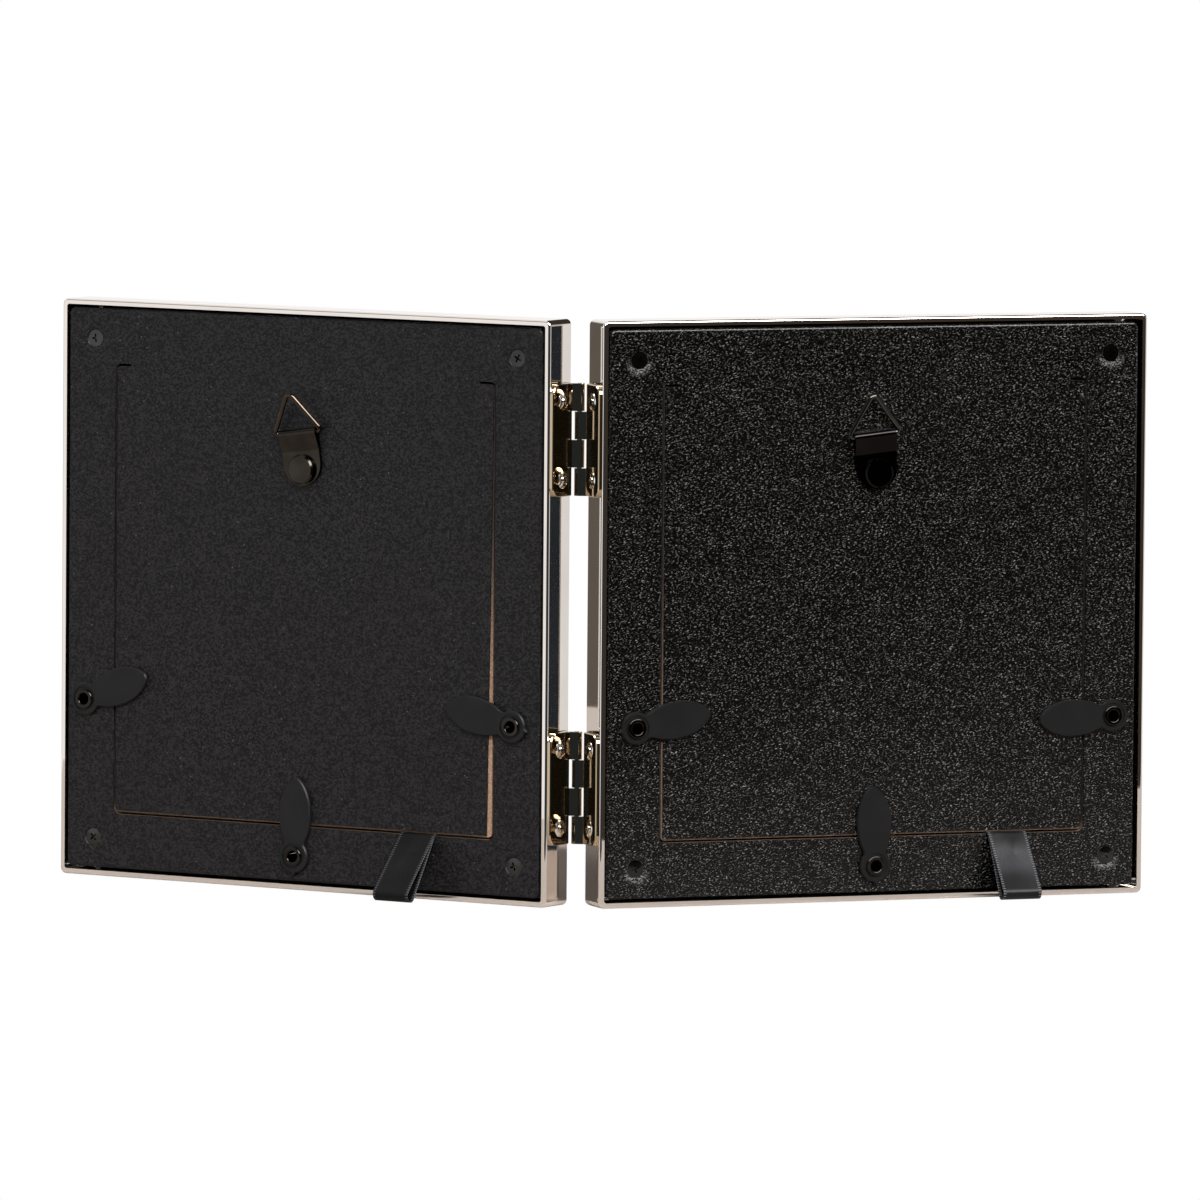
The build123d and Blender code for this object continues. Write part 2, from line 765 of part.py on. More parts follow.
def make_hanger_ring(leaf):
    """Ring: round wire bent into a triangle, its base inside the roll of the strap."""
    across, up, angle = leaf.hanger
    flat = leaf.spot(across, up, cover_back, angle)
    lean = radians(leaf.ring_angle)
    base = flat.from_local_coords((0, leaf.strap_length, roll_height))
    rise = flat.y_dir * cos(lean) + flat.z_dir * sin(lean)
    ring_plane = Plane(origin=base, x_dir=flat.x_dir, z_dir=flat.x_dir.cross(rise))
    corner = strap_width / 2 + ring_side_clearance
    apex = ring_height - 2 * ring_wire_radius - ring_apex_radius
    centres = Vector(-corner, apex - ring_corner_radius)
    tilt = acos((ring_corner_radius - ring_apex_radius) / centres.length)
    bend = degrees(atan2(centres.Y, centres.X) - tilt)
    with BuildPart() as ring:
        with BuildLine(ring_plane) as loop:
            Line((0, 0), (corner, 0))
            corner_bend = CenterArc((corner, ring_corner_radius), ring_corner_radius, -90, 90 + bend)
            apex_bend = CenterArc((0, apex), ring_apex_radius, bend, 90 - bend)
            Line(corner_bend @ 1, apex_bend @ 0)
        path = loop.wire()
        with BuildSketch(Plane(origin=base, z_dir=flat.x_dir)):
            Circle(ring_wire_radius)
        sweep(path=path)
        mirror(about=Plane(origin=base, z_dir=flat.x_dir))
    finish(ring.part, f"{leaf.name}_hanger_ring")


def knuckle_feet(leaf, hinge_height):
    """The lower ends of a leaf's knuckles: the left leaf has the top one, and they alternate."""
    length = (hinge_length + knuckle_gap) / knuckle_count
    first = 0 if leaf is left else 1
    top = hinge_height + hinge_length / 2 + knuckle_gap
    return [top - length * (index + 1) for index in range(first, knuckle_count, 2)]


def make_hinge_plate(leaf, hinge, height):
    """Plate on the leaf's side face, cut back beside the other leaf's knuckles, with its own knuckles."""
    knuckle_length = (hinge_length + knuckle_gap) / knuckle_count - knuckle_gap
    clearance = pin_fixed_clearance if leaf is left else pin_running_clearance
    outward = leaf.side * plate_thickness
    seat_angle = 2 * degrees(
        atan2(hinge_screw_head_radius - hinge_screw_shank_radius, hinge_screw_head_height)
    )
    with BuildPart() as plate:
        with BuildSketch(leaf.section(0)) as outline:
            with Locations(((plate_cut_back + plate_back) / 2, height)):
                Rectangle(plate_back - plate_cut_back, hinge_length)
            fillet(outline.vertices().group_by(Axis.X)[-1], plate_corner_radius)
            for foot in knuckle_feet(leaf, height):
                with Locations((0, foot)):
                    Rectangle(plate_cut_back, knuckle_length, align=Align.MIN)
        extrude(amount=outward)
        outer_face = plate.faces().sort_by(Axis(leaf.axis.position, leaf.along))[0]
        chamfer(outer_face.edges().filter_by(lambda edge: is_back_edge(leaf, edge)), plate_edge_bevel)
        for foot in knuckle_feet(leaf, height):
            with BuildSketch(leaf.plan(foot)):
                Circle(knuckle_radius)
                with BuildLine():
                    Polyline(
                        leaf.in_plan(0, 0),
                        leaf.in_plan(-plate_thickness, 0),
                        leaf.in_plan(-plate_thickness, knuckle_neck),
                        leaf.in_plan(0, knuckle_neck),
                        close=True,
                    )
                make_face()
                make_hull()
            extrude(amount=knuckle_length)
        with BuildSketch(leaf.plan(height - hinge_length / 2)):
            Circle(pin_radius + clearance)
        extrude(amount=hinge_length, mode=Mode.SUBTRACT)
        with Locations(*hinge_screw_planes(leaf, height)):
            CounterSinkHole(
                hinge_screw_shank_radius + screw_clearance,
                hinge_screw_head_radius + screw_clearance,
                depth=plate_thickness + cut_overrun,
                counter_sink_angle=seat_angle,
            )
    finish(plate.part, f"{hinge}_hinge_{leaf.name}_plate")


def is_back_edge(leaf, edge):
    """Whether an edge of a hinge plate lies behind the stretch that carries the knuckles."""
    deep = (edge.center() - leaf.point(0, 0, 0)).dot(leaf.back)
    return deep > plate_cut_back + plate_edge_bevel


def hinge_screw_planes(leaf, height):
    """The planes of a plate's screw heads, each facing away from the leaf."""
    return [
        Plane(
            origin=leaf.point(-plate_thickness, height + step * hinge_screw_pitch / 2, hinge_screw_deep),
            x_dir=leaf.back,
            z_dir=-leaf.along,
        )
        for step in (-1, 1)
    ]


def make_hinge_screws(leaf, hinge, height):
    """Two cross-head screws that hold a plate to the leaf's side wall."""
    cross = (hinge_screw_cross_length, hinge_screw_cross_width, hinge_screw_cross_depth)
    with BuildPart() as screws:
        for plane in hinge_screw_planes(leaf, height):
            add_screw(
                plane,
                hinge_screw_head_radius,
                hinge_screw_head_height,
                hinge_screw_dome,
                hinge_screw_shank_radius,
                hinge_screw_length,
                cross,
            )
    finish(screws.part, f"{hinge}_hinge_{leaf.name}_screws")


def make_hinge_pin(hinge, height):
    """Plain round pin through the four knuckles."""
    with BuildPart() as pin:
        with BuildSketch(Plane(origin=(0, hinge_y, height - hinge_length / 2 + pin_end_inset))):
            Circle(pin_radius)
        extrude(amount=hinge_length - 2 * pin_end_inset)
    finish(pin.part, f"{hinge}_hinge_pin")


for leaf in (left, right):
    make_frame(leaf)
    make_stack(leaf)
    make_back_board(leaf)
    make_door_board(leaf)
    make_cover(leaf)
    make_corner_screws(leaf)
    make_ribbon(leaf)
    for name in leaf.buttons:
        make_button(leaf, name)
    make_eyelets(leaf)
    make_hanger_rivet(leaf)
    make_hanger_strap(leaf)
    make_hanger_ring(leaf)

for hinge, height in hinges.items():
    for leaf in (left, right):
        make_hinge_plate(leaf, hinge, height)
        make_hinge_screws(leaf, hinge, height)
    make_hinge_pin(hinge, height)
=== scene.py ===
import json
import math

import bpy
from mathutils import Matrix, Vector


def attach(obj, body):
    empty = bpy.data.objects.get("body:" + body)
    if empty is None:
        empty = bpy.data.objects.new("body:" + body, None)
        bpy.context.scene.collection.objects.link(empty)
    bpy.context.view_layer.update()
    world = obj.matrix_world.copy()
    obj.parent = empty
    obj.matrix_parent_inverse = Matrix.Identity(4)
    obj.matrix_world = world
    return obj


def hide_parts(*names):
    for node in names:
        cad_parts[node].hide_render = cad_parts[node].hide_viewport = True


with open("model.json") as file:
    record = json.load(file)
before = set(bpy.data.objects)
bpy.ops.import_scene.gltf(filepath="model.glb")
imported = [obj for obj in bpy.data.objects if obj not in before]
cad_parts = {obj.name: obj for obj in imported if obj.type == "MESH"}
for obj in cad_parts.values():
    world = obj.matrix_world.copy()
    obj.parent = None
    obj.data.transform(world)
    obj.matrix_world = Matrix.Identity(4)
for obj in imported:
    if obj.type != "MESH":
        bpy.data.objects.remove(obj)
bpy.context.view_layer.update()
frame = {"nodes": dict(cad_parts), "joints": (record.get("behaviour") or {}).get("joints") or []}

nodes = frame["nodes"]
MM = 0.001

# The leaves' own frame, as in the CAD: the hinge axis, the turn of each leaf, and lengths in millimetres
fold = next(joint for joint in frame["joints"] if joint["name"] == "leaf_fold")
HINGE_Y = fold["pos_m"][1]
LEAF_TURN = math.radians(26.55)
PIN_TO_LEAF = 2.45
PIN_AHEAD = 0.8
LEAF_SIZE = 178.0
LEAF_DEPTH = 12.5
SCREW_INSET = 11.9


class Leaf:
    """One frame of the pair; lengths are in millimetres, points come out in metres."""

    def __init__(self, name, side):
        self.name = name
        self.side = side
        self.along = Vector((side * math.cos(LEAF_TURN), math.sin(LEAF_TURN), 0))
        self.back = Vector((side * math.sin(LEAF_TURN), -math.cos(LEAF_TURN), 0))
        self.turn = -LEAF_TURN if side > 0 else -(math.pi - LEAF_TURN)

    def point(self, across, up, deep):
        flat = self.along * (PIN_TO_LEAF + across) + self.back * (PIN_AHEAD + deep)
        return Vector((0, HINGE_Y, 0)) + (flat + Vector((0, 0, up))) * MM


left = Leaf("left", -1)
right = Leaf("right", 1)
leaves = (left, right)


# Camera: the photograph's view, fitted to the leaves' corners. It aims at a point in metres, given
# to the right of the hinge axis and above the floor.
AZIMUTH, PITCH, ROLL = math.radians(-5.732), math.radians(4.6405), math.radians(0.4669)
AIM_ASIDE, AIM_HEIGHT = 0.006578, 0.092874
CAMERA_DISTANCE = 4.3061
IMAGE_PIXELS, FOCAL_PIXELS = 1200, 14229
SENSOR_WIDTH = 36

ahead = Vector((math.sin(AZIMUTH) * math.cos(PITCH), math.cos(AZIMUTH) * math.cos(PITCH), -math.sin(PITCH)))
level = Vector((math.cos(AZIMUTH), -math.sin(AZIMUTH), 0))
aim = level * AIM_ASIDE + Vector((0, HINGE_Y, AIM_HEIGHT))
camera = bpy.data.objects.new("camera", bpy.data.cameras.new("camera"))
bpy.context.scene.collection.objects.link(camera)
camera.data.sensor_width = SENSOR_WIDTH
camera.data.lens = FOCAL_PIXELS / IMAGE_PIXELS * SENSOR_WIDTH
camera.data.clip_start, camera.data.clip_end = 0.1, 40
axes_of_view = Matrix((level, level.cross(ahead), -ahead)).transposed().to_4x4()
camera.matrix_world = (
    Matrix.Translation(aim - ahead * CAMERA_DISTANCE) @ axes_of_view @ Matrix.Rotation(ROLL, 4, "Z")
)
bpy.context.scene.camera = camera


# Node helpers. Noise scales are per millimetre, and bump distances are in metres.
class Tree:
    """Adds nodes to a material or world and links whatever is passed as an input."""

    def __init__(self, block):
        block.use_nodes = True
        self.tree = block.node_tree
        self.tree.nodes.clear()

    def add(self, kind, inputs=None, **settings):
        node = self.tree.nodes.new(kind)
        for key, value in settings.items():
            setattr(node, key, value)
        for key, value in (inputs or {}).items():
            self.put(node.inputs[key], value)
        return node

    def put(self, socket, value):
        if isinstance(value, bpy.types.NodeSocket):
            self.tree.links.new(value, socket)
        else:
            socket.default_value = value

    def math(self, operation, *values):
        node = self.add("ShaderNodeMath", operation=operation)
        for socket, value in zip(node.inputs, values):
            self.put(socket, value)
        return node.outputs[0]

    def product(self, first, *others):
        for other in others:
            first = self.math("MULTIPLY", first, other)
        return first

    def largest(self, first, *others):
        for other in others:
            first = self.math("MAXIMUM", first, other)
        return first

    def vector(self, operation, *values):
        node = self.add("ShaderNodeVectorMath", operation=operation)
        for socket, value in zip(node.inputs, values):
            self.put(socket, value)
        return node.outputs["Value" if operation in ("LENGTH", "DOT_PRODUCT") else "Vector"]

    def stretch(self, where, scale):
        return self.vector("MULTIPLY", where, scale)

    def axes(self, where):
        return self.add("ShaderNodeSeparateXYZ", {"Vector": where}).outputs

    def mix(self, share, first, second):
        node = self.add("ShaderNodeMix", data_type="RGBA")
        self.put(node.inputs[0], share)
        self.put(node.inputs[6], first)
        self.put(node.inputs[7], second)
        return node.outputs[2]

    def ramp(self, value, low, high, first=0.0, second=1.0):
        """A smooth step from first, where the value is low, to second, where it is high."""
        node = self.add("ShaderNodeMapRange", interpolation_type="SMOOTHSTEP")
        for socket, number in zip(node.inputs, (value, low, high, first, second)):
            self.put(socket, number)
        return node.outputs[0]

    def noise(self, place, scale, detail=2.0, rough=0.5, distortion=0.0):
        inputs = {
            "Vector": place,
            "Scale": scale,
            "Detail": detail,
            "Roughness": rough,
            "Distortion": distortion,
        }
        return self.add("ShaderNodeTexNoise", inputs).outputs["Fac"]

    def place(self, leaf=None):
        """Object coordinates in millimetres; on a leaf x runs along it from its hinge side and z is up."""
        where = self.add("ShaderNodeTexCoord").outputs["Object"]
        to_millimetres = (1000, 1000, 1000)
        if leaf is None:
            return self.stretch(where, to_millimetres)
        corner = Matrix.Rotation(leaf.turn, 2) @ (leaf.point(0, 0, 0) * 1000).to_2d()
        mapping = {
            "Vector": where,
            "Rotation": (0, 0, leaf.turn),
            "Scale": to_millimetres,
            "Location": (-corner.x, -corner.y, 0),
        }
        return self.add("ShaderNodeMapping", mapping).outputs[0]

    def bump(self, height, strength, distance, normal=None):
        inputs = {"Strength": strength, "Distance": distance, "Height": height}
        if normal is not None:
            inputs["Normal"] = normal
        return self.add("ShaderNodeBump", inputs).outputs[0]

    def surface(self, inputs):
        shader = self.add("ShaderNodeBsdfPrincipled", inputs)
        self.add("ShaderNodeOutputMaterial", {"Surface": shader.outputs[0]})


def displayed(value):
    """The linear value of a displayed one from 0 to 255."""
    share = min(1, value / 255)
    return share / 12.92 if share < 0.04045 else ((share + 0.055) / 1.055) ** 2.4


def colour(red, green, blue):
    """A displayed colour as linear values."""
    return (displayed(red), displayed(green), displayed(blue), 1)


def shade(tone, share):
    """A linear colour made darker or lighter."""
    return [channel * share for channel in tone[:3]] + [1]


def new_material(name):
    material = bpy.data.materials.new(name)
    return material, Tree(material)


def paint(material, *names):
    """Give the material to every slot of the named CAD nodes."""
    for name in names:
        slots = nodes[name].data.materials
        if not len(slots):
            slots.append(material)
        for index in range(len(slots)):
            slots[index] = material


# Metals: polished plate with faint level polishing marks
def nickel(name, tint, roughness, leaf=None, scratch=0.02):
    material, t = new_material(name)
    where = t.place(leaf)
    cloud = t.noise(where, 0.035, 3)
    marks = t.noise(t.stretch(where, (1, 1, 6)), 0.9, 4, 0.6)
    inputs = {
        "Base Color": t.mix(t.ramp(cloud, 0.35, 0.7), tint, shade(tint, 0.94)),
        "Metallic": 1.0,
        "Roughness": t.math("MULTIPLY_ADD", t.ramp(marks, 0.35, 0.75), roughness * 0.8, roughness * 0.5),
        "Normal": t.bump(marks, scratch, 0.00001),
    }
    t.surface(inputs)
    return material


FRAME_TINT = (0.86, 0.815, 0.775, 1)
HINGE_TINT = (0.56, 0.45, 0.31, 1)
HINGE_SCREW_TINT = (0.86, 0.84, 0.80, 1)
PIN_TINT = (0.5, 0.5, 0.5, 1)

for leaf in leaves:
    paint(nickel(leaf.name + " nickel", FRAME_TINT, roughness=0.03, leaf=leaf), leaf.name + "_frame")
hinge_metal = nickel("hinge nickel", HINGE_TINT, roughness=0.05, scratch=0.1)
screw_metal = nickel("hinge screw nickel", HINGE_SCREW_TINT, roughness=0.1, scratch=0.2)
for hinge in ("upper", "lower"):
    paint(hinge_metal, f"{hinge}_hinge_left_plate", f"{hinge}_hinge_right_plate")
    paint(screw_metal, f"{hinge}_hinge_left_screws", f"{hinge}_hinge_right_screws")
    paint(nickel(hinge + " pin steel", PIN_TINT, roughness=0.25), f"{hinge}_hinge_pin")


# Leatherette: its grain is in the base colour as well as in the bump; on the right leaf the bright crease
# marks in the base colour are painted highlights
def from_middle(t, axes):
    """Distances from the leaf's upright and level middle lines."""
    return [t.math("ABSOLUTE", t.math("SUBTRACT", axes[key], LEAF_SIZE / 2)) for key in ("X", "Z")]


def from_edge(t, axes):
    """Distance from the leaf's nearest edge."""
    return t.math("MINIMUM", *(t.math("SUBTRACT", LEAF_SIZE / 2, away) for away in from_middle(t, axes)))


def from_screw(t, axes):
    """Distance from the nearest corner screw's centre."""
    reach = LEAF_SIZE / 2 - SCREW_INSET
    aside, away = (t.math("SUBTRACT", distance, reach) for distance in from_middle(t, axes))
    return t.vector("LENGTH", t.add("ShaderNodeCombineXYZ", {"X": aside, "Y": away}).outputs[0])


def above_screw(t, axes):
    """Height above the centre of the upper or lower corner screws."""
    is_upper = t.math("GREATER_THAN", axes["Z"], LEAF_SIZE / 2)
    screw_height = t.math("MULTIPLY_ADD", is_upper, LEAF_SIZE - 2 * SCREW_INSET, SCREW_INSET)
    return t.math("SUBTRACT", axes["Z"], screw_height)


def creased_leatherette(leaf):
    """Black with painted highlights: short bright glints painted along the creases, calmer at the edges, and
    a painted glint below each screw.
    """
    material, t = new_material(leaf.name + " leatherette")
    where = t.place(leaf)
    axes = t.axes(where)
    to_screw = from_screw(t, axes)
    tilt = {"Vector": where, "Axis": (0, 1, 0), "Angle": 0.25}
    tilted = t.add("ShaderNodeVectorRotate", tilt).outputs[0]
    creases = t.noise(t.stretch(tilted, (0.5, 1, 1.22)), 2.9, 1.2, 0.55, 0.5)
    wrinkles = t.noise(t.stretch(tilted, (0.16, 1, 0.5)), 0.6, 2, 0.5, 1.0)
    calm = t.product(
        t.ramp(from_edge(t, axes), 1.6, 3.2, 0.45, 1.0), t.ramp(wrinkles, 0.35, 0.65, 0.78, 1.12)
    )
    # Painted highlight: bright crease marks and a bright patch below each screw go into the base colour,
    # standing in for glints of the light
    painted_screw_glint = t.product(
        t.ramp(above_screw(t, axes), 0.5, -3.5), t.ramp(to_screw, 5.5, 3.2), t.ramp(to_screw, 2.6, 3.0)
    )
    painted_glint = t.largest(
        t.product(t.ramp(creases, 0.56, 0.8), calm),
        t.product(painted_screw_glint, t.ramp(creases, 0.4, 0.7)),
    )
    grain = t.bump(t.product(creases, calm), 1.0, 0.00005)
    pucker = t.ramp(to_screw, 2.7, 5.0)
    inputs = {
        "Base Color": t.mix(painted_glint, colour(1, 1, 1), colour(112, 111, 110)),
        "Roughness": t.ramp(creases, 0.3, 0.7, 0.24, 0.14),
        "Specular IOR Level": 0.3,
        "Normal": t.bump(pucker, 1.0, 0.00015, grain),
    }
    t.surface(inputs)
    return material


def pored_leatherette(leaf):
    """Charcoal with fine pores and a few pale specks."""
    material, t = new_material(leaf.name + " leatherette")
    where = t.place(leaf)
    cells = t.add("ShaderNodeTexVoronoi", {"Vector": where, "Scale": 0.42}).outputs["Distance"]
    speck = t.ramp(cells, 0.05, 0.13, 1.0, 0.0)
    pores = t.noise(t.stretch(where, (0.8, 1, 1)), 1.8, 2, 0.6)
    grain = t.bump(t.math("MULTIPLY_ADD", pores, 0.5, speck), 1.0, 0.00006)
    pucker = t.ramp(from_screw(t, t.axes(where)), 2.6, 4.5)
    shown_speck = t.product(speck, t.ramp(t.noise(where, 0.3), 0.45, 0.6))
    ground = t.mix(t.ramp(pores, 0.4, 0.62), colour(1, 1, 2), colour(30, 29, 31))
    inputs = {
        "Base Color": t.mix(shown_speck, ground, colour(70, 70, 72)),
        "Roughness": t.ramp(pores, 0.3, 0.8, 0.52, 0.4),
        "Specular IOR Level": 0.2,
        "Normal": t.bump(pucker, 0.5, 0.0002, grain),
    }
    t.surface(inputs)
    return material


# The two leaves get lit and shaded copies of one cover: the left's charcoal ground and the right's black
# ground differ as painted light and shade, set to how each leaf is lit
paint(pored_leatherette(left), "left_back_cover")
paint(creased_leatherette(right), "right_back_cover")


# Boards, card, pad and glass
def fibreboard(leaf, low_share, side_share):
    """Brown where the cuts are open, low on the hinge side and at the bottom, and painted dark elsewhere as
    painted shade inside the narrow cuts.
    """
    material, t = new_material(leaf.name + " fibreboard")
    where = t.place(leaf)
    axes = t.axes(where)
    fibres = t.noise(t.stretch(where, (1, 1, 2.2)), 1.6, 5, 0.7)
    lumps = t.noise(where, 0.4, 2)
    board = t.mix(t.ramp(fibres, 0.35, 0.7), colour(118, 92, 72), colour(176, 146, 122))
    board = t.mix(t.ramp(lumps, 0.4, 0.7, 0.0, 0.4), board, colour(140, 112, 92))
    # Painted shade: the dark fibre tone stands in for the shadow inside the narrow cuts
    painted_cut_shade = t.mix(t.ramp(fibres, 0.3, 0.7), colour(16, 14, 13), colour(54, 44, 38))
    low_cut = t.ramp(axes["Z"], 24, 20, 0.0, low_share)
    hinge_cut = t.product(t.ramp(axes["X"], 30, 24), t.ramp(axes["Z"], 120, 50), side_share)
    inputs = {
        "Base Color": t.mix(t.largest(low_cut, hinge_cut), painted_cut_shade, board),
        "Roughness": 0.9,
        "Normal": t.bump(fibres, 0.7, 0.0001),
    }
    t.surface(inputs)
    return material


def paper(name, tone):
    material, t = new_material(name)
    fibres = t.noise(t.place(), 2.5, 5, 0.7)
    inputs = {
        "Base Color": t.mix(t.ramp(fibres, 0.3, 0.7), shade(tone, 0.93), tone),
        "Roughness": 0.8,
        "Normal": t.bump(fibres, 0.3, 0.00005),
    }
    t.surface(inputs)
    return material


def window_glass():
    """Clear glass with faint smears."""
    material, t = new_material("window glass")
    smears = t.noise(t.place(), 0.05, 3)
    inputs = {
        "Base Color": (0.97, 0.985, 0.98, 1),
        "Roughness": t.ramp(smears, 0.4, 0.8, 0.0, 0.03),
        "Transmission Weight": 1.0,
        "IOR": 1.45,
    }
    t.surface(inputs)
    return material


card = paper("blank card", colour(242.76, 238, 233.24))
pad = paper("grey board", colour(154.5, 150, 145.5))
glass = window_glass()
for leaf, low_share, side_share in ((left, 0.55, 1.0), (right, 0.4, 0.3)):
    paint(fibreboard(leaf, low_share, side_share), leaf.name + "_back_board", leaf.name + "_door_board")
    paint(card, leaf.name + "_photo_card")
    paint(pad, leaf.name + "_backing_pad")
    paint(glass, leaf.name + "_glass")


# Black and charcoal fittings: blackened metal, and buttons of a duller finish
def enamel(name, tone, roughness, metallic=1.0, specular=0.5, grain=1.2, strength=0.25):
    material, t = new_material(name)
    where = t.place()
    fine = t.noise(where, grain, 4, 0.6)
    cloud = t.noise(where, 0.12, 2)
    inputs = {
        "Base Color": t.mix(t.ramp(cloud, 0.35, 0.7), shade(tone, 0.8), shade(tone, 1.15)),
        "Metallic": metallic,
        "Roughness": t.ramp(fine, 0.3, 0.75, roughness * 0.85, roughness * 1.2),
        "Specular IOR Level": specular,
        "Normal": t.bump(fine, strength, 0.00003),
    }
    t.surface(inputs)
    return material


def button_enamel(leaf, tone, specular):
    return enamel(
        leaf.name + " button metal", tone, roughness=0.42, metallic=0.0, specular=specular, grain=2.5
    )


corner_screw = enamel("black screw", colour(66, 66, 66), roughness=0.12, strength=0.1)
eyelet = enamel("eyelet black", colour(50, 47, 45), roughness=0.08, strength=0.05)
# The left and right copies of the hanger, ring and button finishes are lit and shaded copies of the same
# hardware: their tones differ by leaf as painted light and shade, set to how each leaf is lit
fittings = {
    left: (
        enamel("left hanger metal", colour(54, 51, 46), roughness=0.16),
        enamel("left ring metal", colour(70, 62, 54), roughness=0.1, strength=0.1),
        button_enamel(left, colour(17, 17, 19), specular=0.2),
    ),
    right: (
        enamel("right hanger metal", colour(31, 28, 29), roughness=0.08, strength=0.15),
        enamel("right ring metal", colour(84, 82, 78), roughness=0.1, strength=0.1),
        button_enamel(right, colour(10, 10, 11), specular=0.18),
    ),
}
for leaf, (strap, ring, button) in fittings.items():
    paint(corner_screw, leaf.name + "_corner_screws")
    paint(eyelet, leaf.name + "_button_eyelets")
    paint(strap, leaf.name + "_hanger_rivet", leaf.name + "_hanger_strap")
    paint(ring, leaf.name + "_hanger_ring")
    paint(button, *(f"{leaf.name}_{place}_button" for place in ("outer", "inner", "bottom")))


# Ribbon pulls: each is one strip, glued inside the flap, out through the lower cut and round a loose fold
RIBBON_WIDTH = 12.5
RIBBON_COLUMNS = 30
RIBBON_THICKNESS = 0.28
RIBBON_DRAWN_THICKNESS = 0.24
RIBBON_HALF_GAP = 0.165
RIBBON_FOLD_RADIUS = 1.9
RIBBON_FOLD_SHARE = 0.97
RIBBON_CUT_RADIUS, RIBBON_INNER_RADIUS = 1.1, 0.2
RIBBON_FLOOR_GAP = 0.35
RIBBON_CUT_HEIGHT = 19.8
RIBBON_GLUED_DEPTH = 8.5 - RIBBON_HALF_GAP
RIBBON_GLUED_LENGTH = 4.7
RIBBON_EXIT_DEPTH = 12.7
PATH_STEP = 0.35


def turned_corner(before, corner, after, radius):
    """Points along the arc that rounds a corner."""
    to_before, to_after = (before - corner).normalized(), (after - corner).normalized()
    half = to_before.angle(to_after) / 2
    reach = radius / math.tan(half)
    centre = corner + (to_before + to_after).normalized() * (radius / math.sin(half))
    start, end = corner + to_before * reach - centre, corner + to_after * reach - centre
    sweep = math.pi - 2 * half
    turning = 1 if start.x * end.y - start.y * end.x > 0 else -1
    count = max(3, math.ceil(sweep * radius / PATH_STEP))
    points = []
    for index in range(count + 1):
        angle = turning * sweep * index / count
        cosine, sine = math.cos(angle), math.sin(angle)
        spoke = Vector((start.x * cosine - start.y * sine, start.x * sine + start.y * cosine))
        points.append(centre + spoke)
    return points


def rounded(points, radii):
    """A path through corners rounded to the given radii, with a point about every step."""
    path = [points[0]]
    for before, corner, after, radius in zip(points, points[1:], points[2:], radii):
        path += turned_corner(before, corner, after, radius)
    path.append(points[-1])
    dense = [path[0]]
    for point in path[1:]:
        start = dense[-1]
        gap = (point - start).length
        pieces = max(1, round(gap / PATH_STEP))
        dense += [start.lerp(point, (index + 1) / pieces) for index in range(pieces) if gap > 1e-6]
    return dense


def ribbon_path(reach):
    """Depth and height along the strip in millimetres; its two layers spread from the cut to the fold."""
    radius = RIBBON_FOLD_RADIUS
    run = LEAF_DEPTH + reach - RIBBON_EXIT_DEPTH
    drop = RIBBON_CUT_HEIGHT - (RIBBON_FLOOR_GAP + RIBBON_THICKNESS / 2 + radius)
    distance = math.hypot(run, drop)
    forward, aside = Vector((run, -drop)) / distance, Vector((drop, run)) / distance
    end = distance + radius
    spread = end * math.tan(math.atan2(radius, math.sqrt(distance**2 - radius**2)))
    tip = Vector((RIBBON_EXIT_DEPTH, RIBBON_CUT_HEIGHT)) + forward * end
    above, below = RIBBON_CUT_HEIGHT + RIBBON_HALF_GAP, RIBBON_CUT_HEIGHT - RIBBON_HALF_GAP
    glued_end = RIBBON_CUT_HEIGHT + RIBBON_GLUED_LENGTH
    outer_depth, inner_depth = RIBBON_GLUED_DEPTH, RIBBON_GLUED_DEPTH - 2 * RIBBON_HALF_GAP
    corners = [
        Vector((outer_depth, glued_end)),
        Vector((outer_depth, above)),
        Vector((RIBBON_EXIT_DEPTH, above)),
        tip + aside * spread,
        tip - aside * spread,
        Vector((RIBBON_EXIT_DEPTH, below)),
        Vector((inner_depth, below)),
        Vector((inner_depth, glued_end)),
    ]
    radii = (RIBBON_INNER_RADIUS, RIBBON_CUT_RADIUS, radius * RIBBON_FOLD_SHARE)
    return rounded(corners, radii + radii[::-1])


def ribbon(leaf, across, reach, material):
    path = ribbon_path(reach)
    vertices, places, travelled = [], [], 0.0
    for index, point in enumerate(path):
        if index:
            travelled += (point - path[index - 1]).length
        for column in range(RIBBON_COLUMNS + 1):
            share = column / RIBBON_COLUMNS
            aside = (share - 0.5) * RIBBON_WIDTH
            vertices.append(leaf.point(across + aside * leaf.side, point.y, point.x))
            places.append((share * RIBBON_WIDTH, travelled))
    faces = []
    row_length = RIBBON_COLUMNS + 1
    for row in range(len(path) - 1):
        for column in range(RIBBON_COLUMNS):
            first = row * row_length + column
            faces.append((first, first + 1, first + row_length + 1, first + row_length))
    mesh = bpy.data.meshes.new(leaf.name + "_ribbon")
    mesh.from_pydata(vertices, [], faces)
    layer = mesh.uv_layers.new(name="UVMap")
    for loop in mesh.loops:
        layer.data[loop.index].uv = places[loop.vertex_index]
    mesh.shade_smooth()
    mesh.materials.append(material)
    strip = bpy.data.objects.new(leaf.name + "_ribbon", mesh)
    bpy.context.scene.collection.objects.link(strip)
    cloth = strip.modifiers.new("thickness", "SOLIDIFY")
    cloth.thickness, cloth.offset = RIBBON_DRAWN_THICKNESS * MM, 0
    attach(strip, leaf.name + "_leaf")
    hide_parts(leaf.name + "_ribbon_pull")


